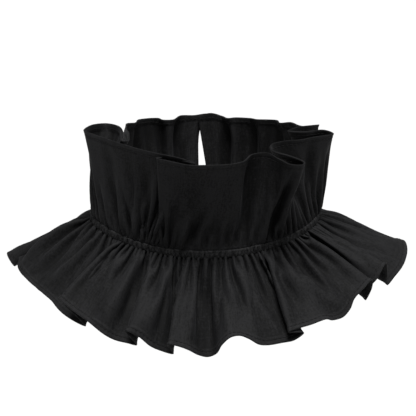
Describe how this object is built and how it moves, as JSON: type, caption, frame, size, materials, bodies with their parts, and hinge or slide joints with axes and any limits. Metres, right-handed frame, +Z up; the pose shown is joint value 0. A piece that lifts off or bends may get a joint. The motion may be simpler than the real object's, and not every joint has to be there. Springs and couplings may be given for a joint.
{
  "type": "ruffle collar",
  "caption": "Black cotton ruff collar: a standing frill and a wide shoulder flounce gathered onto a narrow neck band, open at the back.",
  "frame": {"origin": "centre of the neck ring, level with the band's middle at its two sides", "axes": "-Y is the wearer's front, +Y the back opening, +X across the shoulders, +Z up along the neck"},
  "size_m": [0.2498, 0.2086, 0.1147],
  "materials": {
    "black_cotton": "matte plain-woven cotton with a faint slub, ink black, hems turned twice and topstitched"
  },
  "bodies": {
    "root": {"neck_band": "black_cotton", "standing_frill": "black_cotton", "shoulder_flounce": "black_cotton"}
  },
  "joints": []
}
